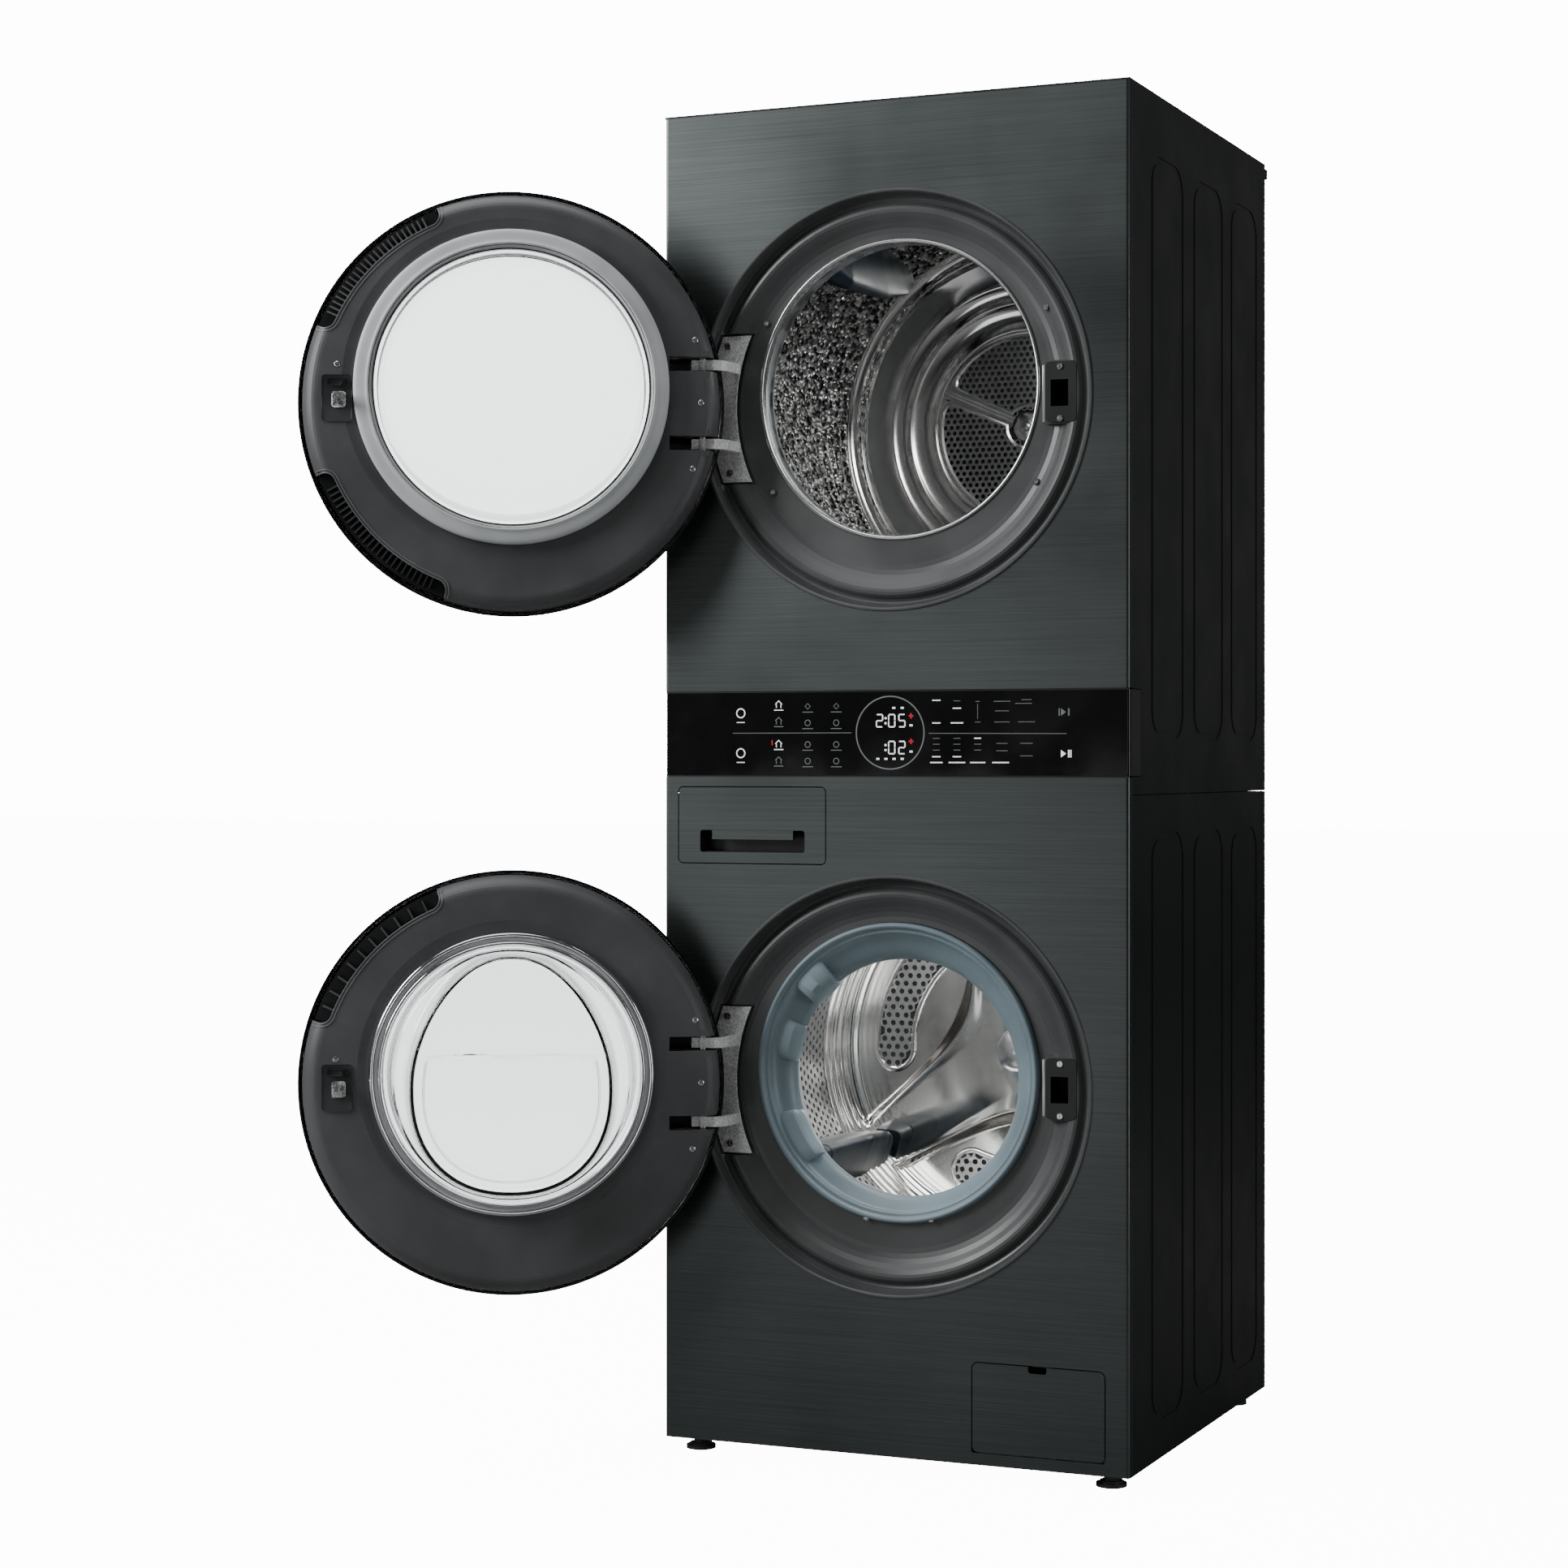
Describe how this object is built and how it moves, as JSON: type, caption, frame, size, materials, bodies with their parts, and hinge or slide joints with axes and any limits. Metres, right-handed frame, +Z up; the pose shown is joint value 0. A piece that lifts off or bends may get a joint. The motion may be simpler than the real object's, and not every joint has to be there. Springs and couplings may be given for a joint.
{
  "type": "stacked washer dryer tower",
  "caption": "Free-standing laundry tower: front-loading washer below, vented dryer above, one touch control band between, both round doors swung open on the left.",
  "frame": {"origin": "on the floor, below the centre of the cabinet's footprint", "axes": "+Z up, the front and its doors face -Y, +X to the right as seen from the front"},
  "size_m": [1.1139, 1.0776, 1.889],
  "materials": {
    "body_paint": "satin",
    "front_steel": "brushed black",
    "galvanised": "galvanised sheet",
    "bezel_plastic": "satin charcoal",
    "gloss_black": "polished",
    "touch_glass": "polished",
    "hinge_metal": "satin",
    "steel_pin": "polished",
    "black_plastic": "satin",
    "gasket_rubber": "satin",
    "tub_plastic": "moulded",
    "white_plastic": "moulded",
    "weight_iron": "cast",
    "copper_winding": "wound wire",
    "stainless": "bright",
    "lifter_plastic": "satin",
    "cast_alloy": "as cast",
    "belt_rubber": "matte",
    "door_plastic": "satin charcoal",
    "door_glass_black": "polished",
    "ring_silver": "satin silver",
    "ring_chrome": "polished",
    "clear_glass": "clear",
    "foot_rubber": "matte"
  },
  "bodies": {
    "cabinet": {"base_frame": "galvanised", "lower_side_left": "body_paint", "lower_side_right": "body_paint", "upper_side_left": "body_paint", "upper_side_right": "body_paint", "rear_panel_lower": "galvanised", "rear_panel_upper": "galvanised", "top_plate": "body_paint", "mid_deck": "galvanised", "upper_front_panel": "front_steel", "lower_front_panel": "front_steel", "control_housing": "gloss_black", "control_glass": "touch_glass", "dryer_bezel": "bezel_plastic", "washer_bezel": "bezel_plastic", "hinge_brackets": "hinge_metal", "hinge_pins": "steel_pin", "latch_receivers": "black_plastic", "door_gasket": "gasket_rubber", "tub_front_cover": "tub_plastic", "wash_tub": "tub_plastic", "tub_counterweight": "weight_iron", "tub_suspension": "galvanised", "motor_stator": "copper_winding", "drain_pump_body": "white_plastic", "detergent_housing": "tub_plastic", "inlet_valves": "white_plastic", "drain_outlet": "black_plastic", "dryer_front_bulkhead": "galvanised", "dryer_rear_bulkhead": "galvanised", "blower_duct": "galvanised", "dryer_motor": "cast_alloy", "drive_belt": "belt_rubber", "terminal_cover": "galvanised", "panel_screws": "steel_pin"},
    "dryer_door": {"dryer_door_frame": "door_plastic", "dryer_door_cover": "door_glass_black", "dryer_door_ring": "ring_silver", "dryer_door_glass": "clear_glass", "dryer_door_strike": "steel_pin"},
    "washer_door": {"washer_door_frame": "door_plastic", "washer_door_cover": "door_glass_black", "washer_door_ring": "ring_chrome", "washer_door_bowl": "clear_glass", "washer_door_strike": "steel_pin"},
    "dryer_drum_body": {"dryer_drum": "stainless", "dryer_drum_lifters": "lifter_plastic"},
    "wash_drum_body": {"wash_drum": "stainless", "wash_drum_back": "stainless", "wash_drum_lifters": "lifter_plastic", "drum_drive_rotor": "cast_alloy"},
    "motor_shaft": {"motor_pulley_fan": "cast_alloy"},
    "drawer": {"detergent_drawer": "front_steel"},
    "pump_flap": {"pump_cover": "front_steel"},
    "pump_filter_body": {"pump_filter": "white_plastic"},
    "lint_filter_body": {"lint_filter": "white_plastic"},
    "foot_fl": {"foot_front_left": "foot_rubber"},
    "foot_fr": {"foot_front_right": "foot_rubber"},
    "foot_rl": {"foot_rear_left": "foot_rubber"},
    "foot_rr": {"foot_rear_right": "foot_rubber"}
  },
  "joints": [
    {"name": "dryer_door_hinge", "type": "hinge", "parent": "cabinet", "child": "dryer_door", "pos_m": [-0.266, -0.383, 1.474], "axis": [0, 0, 1], "range_deg": [0, 152]},
    {"name": "washer_door_hinge", "type": "hinge", "parent": "cabinet", "child": "washer_door", "pos_m": [-0.266, -0.383, 0.529], "axis": [0, 0, 1], "range_deg": [0, 152]},
    {"name": "dryer_drum_spin", "type": "hinge", "parent": "cabinet", "child": "dryer_drum_body", "pos_m": [0, 0, 1.491], "axis": [0, 1, 0], "continuous": true},
    {"name": "wash_drum_spin", "type": "hinge", "parent": "cabinet", "child": "wash_drum_body", "pos_m": [0, 0, 0.536], "axis": [0, 1, 0], "continuous": true},
    {"name": "motor_spin", "type": "hinge", "parent": "cabinet", "child": "motor_shaft", "pos_m": [0.15, -0.1, 1.075], "axis": [0, 1, 0], "continuous": true},
    {"name": "drawer_slide", "type": "slide", "parent": "cabinet", "child": "drawer", "axis": [0, -1, 0], "range_m": [0, 0.25]},
    {"name": "pump_flap_hinge", "type": "hinge", "parent": "cabinet", "child": "pump_flap", "pos_m": [0.14, -0.34, 0.043], "axis": [1, 0, 0], "range_deg": [0, 95]},
    {"name": "pump_filter_twist", "type": "hinge", "parent": "cabinet", "child": "pump_filter_body", "pos_m": [0.214, -0.3, 0.096], "axis": [0, 1, 0], "range_deg": [-270, 0]},
    {"name": "lint_filter_slide", "type": "slide", "parent": "cabinet", "child": "lint_filter_body", "axis": [0, 0, 1], "range_m": [0, 0.24]},
    {"name": "foot_fl_screw", "type": "hinge", "parent": "cabinet", "child": "foot_fl", "pos_m": [-0.305, -0.305, 0.03], "axis": [0, 0, 1], "continuous": true},
    {"name": "foot_fr_screw", "type": "hinge", "parent": "cabinet", "child": "foot_fr", "pos_m": [0.305, -0.305, 0.03], "axis": [0, 0, 1], "continuous": true},
    {"name": "foot_rl_screw", "type": "hinge", "parent": "cabinet", "child": "foot_rl", "pos_m": [-0.305, 0.3, 0.03], "axis": [0, 0, 1], "continuous": true},
    {"name": "foot_rr_screw", "type": "hinge", "parent": "cabinet", "child": "foot_rr", "pos_m": [0.305, 0.3, 0.03], "axis": [0, 0, 1], "continuous": true}
  ],
  "couplings": [
    {"joint": "motor_spin", "follows": "dryer_drum_spin", "ratio": 16.163}
  ]
}
